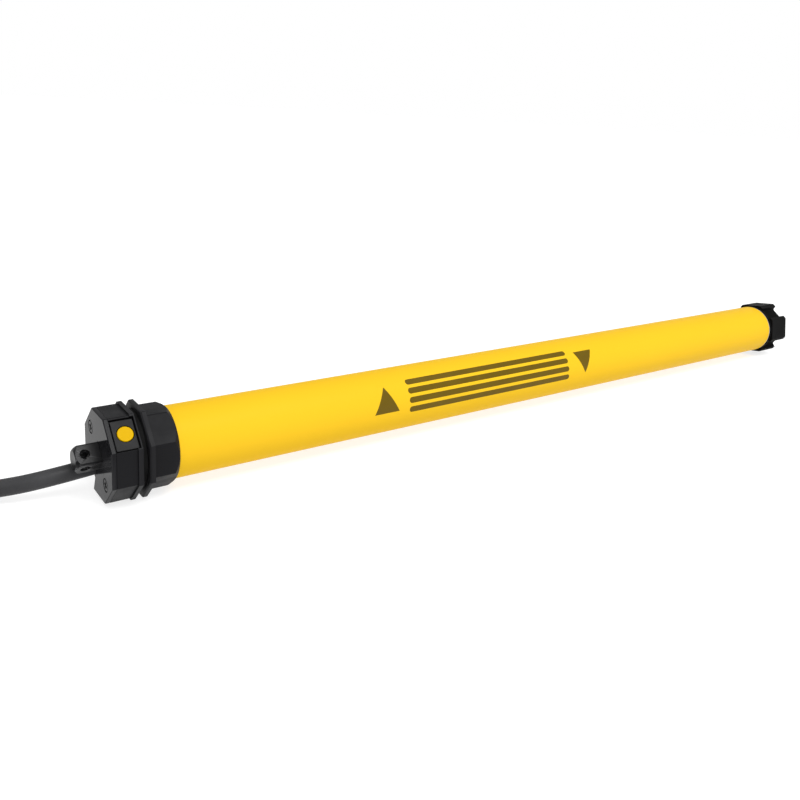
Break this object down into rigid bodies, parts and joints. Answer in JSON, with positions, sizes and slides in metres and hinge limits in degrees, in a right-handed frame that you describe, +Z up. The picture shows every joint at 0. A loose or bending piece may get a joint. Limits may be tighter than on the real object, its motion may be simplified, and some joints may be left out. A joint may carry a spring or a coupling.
{
  "type": "roller shutter motor",
  "caption": "Slim tube motor for roller shutters: round tube with an octagonal head, square fixing pin, running crown, setting button, power cable and notched drive adapter.",
  "frame": {"origin": "on the surface the motor lies on, under the middle of its length from the pin's tip to the drive adapter's rear face, without its cable", "axes": "+X along the motor from the head to the drive end, -Y towards the side that shows the setting button, +Z up"},
  "size_m": [0.7763, 0.0742, 0.0423],
  "materials": {
    "tube_yellow": "satin powder coat",
    "black_plastic": "moulded, fine satin grain",
    "face_plastic": "moulded, glossy",
    "pin_steel": "blackened steel",
    "screw_steel": "black zinc",
    "button_yellow": "moulded, smooth",
    "panel_plastic": "fine grain",
    "spring_steel": "drawn wire",
    "cable_sheath": "matt PVC",
    "tie_fabric": "hook and loop band",
    "core_brown": "PVC",
    "core_blue": "PVC",
    "core_black": "PVC",
    "core_earth": "PVC, green and yellow",
    "tinned": "tinned copper",
    "board_green": "solder mask",
    "component": "moulded",
    "terminal_green": "moulded",
    "carrier_grey": "moulded",
    "capacitor_can": "drawn can",
    "die_cast": "die cast",
    "lamination": "stacked sheet",
    "copper": "enamelled wire",
    "shaft_steel": "ground",
    "gear_steel": "sintered",
    "gear_plastic": "acetal",
    "bronze": "sintered bronze",
    "brake_lining": "friction lining"
  },
  "bodies": {
    "root": {"motor_tube": "tube_yellow", "face_cover": "face_plastic", "head_housing": "black_plastic", "square_pin": "pin_steel", "face_screws": "screw_steel", "button_panel": "panel_plastic", "button_spring": "spring_steel", "button_switch": "component", "cable_plug": "black_plastic", "crown_spacer": "black_plastic", "crown_clip": "spring_steel", "encoder_axle": "shaft_steel", "board_carrier": "carrier_grey", "control_board": "board_green", "terminal_block": "terminal_green", "board_components": "component", "capacitor_holder": "carrier_grey", "run_capacitor": "capacitor_can", "front_end_bell": "die_cast", "rear_end_bell": "die_cast", "motor_bearings": "shaft_steel", "stator_core": "lamination", "stator_windings": "copper", "ring_gear": "gear_steel", "brake_housing": "gear_steel", "brake_coil": "copper", "brake_plate": "gear_steel", "brake_spring": "spring_steel", "gearbox_plate": "die_cast", "end_flange": "die_cast", "output_bearing": "bronze", "power_cable": "cable_sheath", "cable_hank": "cable_sheath", "hank_ties": "tie_fabric", "core_brown": "core_brown", "core_blue": "core_blue", "core_black": "core_black", "core_earth": "core_earth", "core_ferrules": "tinned"},
    "crown": {"crown": "black_plastic"},
    "encoder_pinion": {"encoder_pinion": "gear_plastic"},
    "setting_button": {"setting_button": "button_yellow"},
    "brake_armature": {"brake_armature": "gear_steel"},
    "rotor": {"rotor_shaft": "shaft_steel", "rotor_core": "lamination", "brake_disc": "brake_lining"},
    "stage1_carrier": {"stage1_carrier": "gear_steel"},
    "stage2_carrier": {"stage2_carrier": "gear_steel"},
    "output": {"output_shaft": "shaft_steel", "drive_adapter": "black_plastic", "adapter_screw": "screw_steel"},
    "stage1_planet_1": {"stage1_planet_1": "gear_steel"},
    "stage1_planet_2": {"stage1_planet_2": "gear_steel"},
    "stage1_planet_3": {"stage1_planet_3": "gear_steel"},
    "stage2_planet_1": {"stage2_planet_1": "gear_steel"},
    "stage2_planet_2": {"stage2_planet_2": "gear_steel"},
    "stage2_planet_3": {"stage2_planet_3": "gear_steel"},
    "stage3_planet_1": {"stage3_planet_1": "gear_steel"},
    "stage3_planet_2": {"stage3_planet_2": "gear_steel"},
    "stage3_planet_3": {"stage3_planet_3": "gear_steel"}
  },
  "joints": [
    {"name": "crown_turn", "type": "hinge", "parent": "root", "child": "crown", "pos_m": [-0.2405, 0, 0.02115], "axis": [1, 0, 0], "continuous": true},
    {"name": "encoder_turn", "type": "hinge", "parent": "root", "child": "encoder_pinion", "pos_m": [-0.2465, 0, 0.03555], "axis": [1, 0, 0], "continuous": true},
    {"name": "button_press", "type": "slide", "parent": "root", "child": "setting_button", "axis": [0, 0.7071, -0.7071], "range_m": [0, 0.0008], "stiffness_N_per_m": 900, "springref_m": -0.0006, "deforming": ["button_spring"]},
    {"name": "brake_release", "type": "slide", "parent": "root", "child": "brake_armature", "axis": [-1, 0, 0], "range_m": [0, 0.0007], "stiffness_N_per_m": 4000, "springref_m": -0.0015, "deforming": ["brake_spring"]},
    {"name": "output_turn", "type": "hinge", "parent": "root", "child": "output", "pos_m": [0.2305, 0, 0.02115], "axis": [1, 0, 0], "continuous": true},
    {"name": "stage2_turn", "type": "hinge", "parent": "root", "child": "stage2_carrier", "pos_m": [0.1735, 0, 0.02115], "axis": [1, 0, 0], "continuous": true},
    {"name": "stage1_turn", "type": "hinge", "parent": "root", "child": "stage1_carrier", "pos_m": [0.1555, 0, 0.02115], "axis": [1, 0, 0], "continuous": true},
    {"name": "rotor_turn", "type": "hinge", "parent": "root", "child": "rotor", "pos_m": [0.0355, 0, 0.02115], "axis": [1, 0, 0], "continuous": true},
    {"name": "stage1_planet_1_turn", "type": "hinge", "parent": "stage1_carrier", "child": "stage1_planet_1", "pos_m": [0.1485, 0, 0.02959], "axis": [1, 0, 0], "continuous": true},
    {"name": "stage1_planet_2_turn", "type": "hinge", "parent": "stage1_carrier", "child": "stage1_planet_2", "pos_m": [0.1485, -0.00731, 0.01693], "axis": [1, 0, 0], "continuous": true},
    {"name": "stage1_planet_3_turn", "type": "hinge", "parent": "stage1_carrier", "child": "stage1_planet_3", "pos_m": [0.1485, 0.00731, 0.01693], "axis": [1, 0, 0], "continuous": true},
    {"name": "stage2_planet_1_turn", "type": "hinge", "parent": "stage2_carrier", "child": "stage2_planet_1", "pos_m": [0.1655, 0, 0.02959], "axis": [1, 0, 0], "continuous": true},
    {"name": "stage2_planet_2_turn", "type": "hinge", "parent": "stage2_carrier", "child": "stage2_planet_2", "pos_m": [0.1655, -0.00731, 0.01693], "axis": [1, 0, 0], "continuous": true},
    {"name": "stage2_planet_3_turn", "type": "hinge", "parent": "stage2_carrier", "child": "stage2_planet_3", "pos_m": [0.1655, 0.00731, 0.01693], "axis": [1, 0, 0], "continuous": true},
    {"name": "stage3_planet_1_turn", "type": "hinge", "parent": "output", "child": "stage3_planet_1", "pos_m": [0.1865, 0, 0.02959], "axis": [1, 0, 0], "continuous": true},
    {"name": "stage3_planet_2_turn", "type": "hinge", "parent": "output", "child": "stage3_planet_2", "pos_m": [0.1865, -0.00731, 0.01693], "axis": [1, 0, 0], "continuous": true},
    {"name": "stage3_planet_3_turn", "type": "hinge", "parent": "output", "child": "stage3_planet_3", "pos_m": [0.1865, 0.00731, 0.01693], "axis": [1, 0, 0], "continuous": true}
  ],
  "couplings": [
    {"joint": "encoder_turn", "follows": "crown_turn", "ratio": 5},
    {"joint": "stage2_turn", "follows": "output_turn", "ratio": 5},
    {"joint": "stage1_turn", "follows": "output_turn", "ratio": 25},
    {"joint": "rotor_turn", "follows": "output_turn", "ratio": 125},
    {"joint": "stage1_planet_1_turn", "follows": "output_turn", "ratio": -66.667},
    {"joint": "stage1_planet_2_turn", "follows": "output_turn", "ratio": -66.667},
    {"joint": "stage1_planet_3_turn", "follows": "output_turn", "ratio": -66.667},
    {"joint": "stage2_planet_1_turn", "follows": "output_turn", "ratio": -13.333},
    {"joint": "stage2_planet_2_turn", "follows": "output_turn", "ratio": -13.333},
    {"joint": "stage2_planet_3_turn", "follows": "output_turn", "ratio": -13.333},
    {"joint": "stage3_planet_1_turn", "follows": "output_turn", "ratio": -2.6667},
    {"joint": "stage3_planet_2_turn", "follows": "output_turn", "ratio": -2.6667},
    {"joint": "stage3_planet_3_turn", "follows": "output_turn", "ratio": -2.6667}
  ]
}
